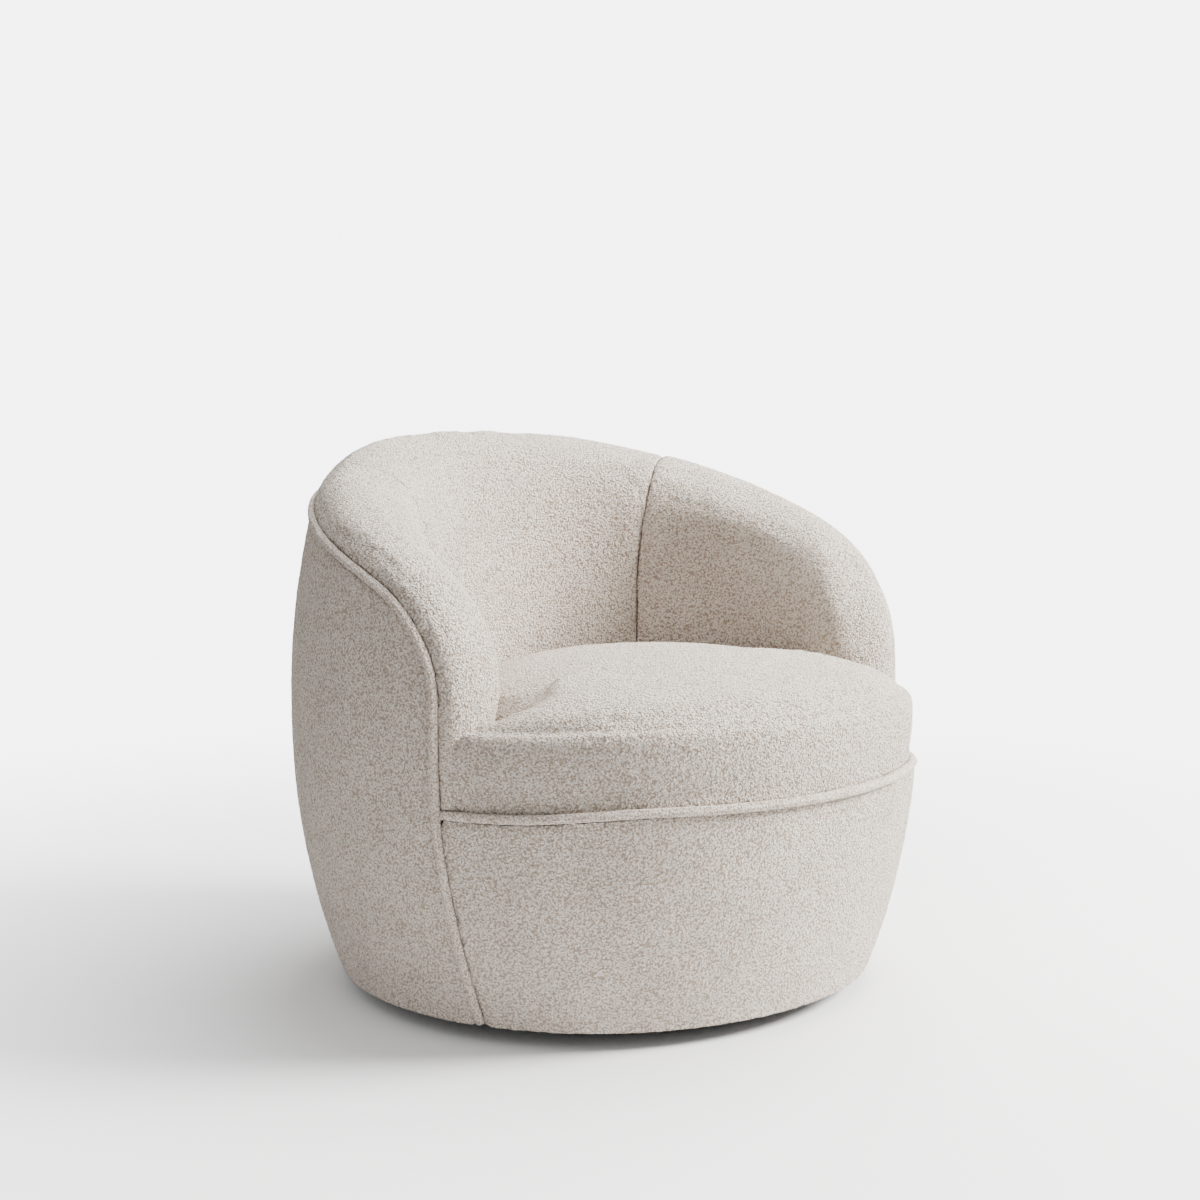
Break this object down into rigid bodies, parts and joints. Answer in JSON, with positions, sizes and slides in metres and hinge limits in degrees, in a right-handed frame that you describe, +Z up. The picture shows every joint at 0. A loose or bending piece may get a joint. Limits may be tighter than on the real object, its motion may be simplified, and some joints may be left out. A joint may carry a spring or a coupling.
{
  "type": "armchair",
  "caption": "Low round swivel tub armchair in cream boucle: a barrel shell whose rolled back slopes into the arms, a loose T-shaped seat cushion and a recessed dark base.",
  "frame": {"origin": "on the floor, on the axis the seat turns about", "axes": "+Z up; -Y towards the front of the seat; +X towards the right arm as seen from the front"},
  "size_m": [0.8192, 0.8057, 0.706],
  "materials": {
    "boucle": "cream boucle, small tight curls, matt",
    "foam": "upholstery foam, matt",
    "wadding": "white polyester wadding",
    "fibreboard": "raw brown board, matt",
    "plywood": "raw birch plywood",
    "cambric": "thin black dust cloth",
    "steel": "zinc-plated, satin",
    "black_steel": "black powder coat",
    "black_plinth": "black stain, matt",
    "nylon": "moulded nylon",
    "nylon_tape": "woven zip tape"
  },
  "bodies": {
    "base": {"plinth": "black_plinth", "lower_swivel_plate": "black_steel", "pivot_nut": "steel", "pivot_pin": "steel", "pivot_washer": "steel", "floor_glide_1": "nylon", "floor_glide_2": "nylon", "floor_glide_3": "nylon", "floor_glide_4": "nylon", "lower_plate_screw_1": "steel", "lower_plate_screw_2": "steel", "lower_plate_screw_3": "steel"},
    "ball_cage": {"ball_cage": "steel"},
    "seat": {"arm_pad_left": "foam", "arm_pad_right": "foam", "arm_post_left": "plywood", "arm_post_right": "plywood", "back_pad": "foam", "base_board": "plywood", "deck_cloth": "cambric", "deck_pad": "foam", "drum_rib_1": "plywood", "drum_rib_2": "plywood", "drum_rib_3": "plywood", "drum_rib_4": "plywood", "drum_rib_5": "plywood", "front_border_board": "fibreboard", "front_border_cover": "boucle", "front_border_wadding": "wadding", "front_rail": "plywood", "front_rib_left": "plywood", "front_rib_right": "plywood", "inside_arm_cover_left": "boucle", "inside_arm_cover_right": "boucle", "inside_back_cover": "boucle", "seat_ring": "plywood", "seat_spring_1": "steel", "seat_spring_2": "steel", "seat_spring_3": "steel", "seat_spring_4": "steel", "seat_spring_5": "steel", "shell_board": "fibreboard", "shell_cover": "boucle", "shell_wadding": "wadding", "shell_welt": "boucle", "spring_clip_strip_front": "steel", "spring_clip_strip_rear": "steel", "spring_tie_wire": "steel", "top_rail": "plywood", "underside_cloth": "cambric", "upper_plate_screw_1": "steel", "upper_plate_screw_2": "steel", "upper_plate_screw_3": "steel", "upper_swivel_plate": "black_steel"},
    "cushion": {"cushion_base_cover": "boucle", "cushion_core": "foam", "cushion_cover": "boucle", "cushion_welt": "boucle", "cushion_zip_tape": "nylon_tape"},
    "zip_slider": {"cushion_zip_slider": "steel"}
  },
  "joints": [
    {"name": "seat_swivel", "type": "hinge", "parent": "base", "child": "seat", "pos_m": [0, 0, 0], "axis": [0, 0, 1], "continuous": true},
    {"name": "ball_cage_orbit", "type": "hinge", "parent": "base", "child": "ball_cage", "pos_m": [0, 0, 0], "axis": [0, 0, 1], "continuous": true},
    {"name": "cushion_lift", "type": "slide", "parent": "seat", "child": "cushion", "axis": [0, 0, 1], "range_m": [0, 0.45]},
    {"name": "zip_slide", "type": "hinge", "parent": "cushion", "child": "zip_slider", "pos_m": [0, -0.093, 0], "axis": [0, 0, 1], "range_deg": [-30, 30]}
  ],
  "couplings": [
    {"joint": "ball_cage_orbit", "follows": "seat_swivel", "ratio": 0.5}
  ]
}
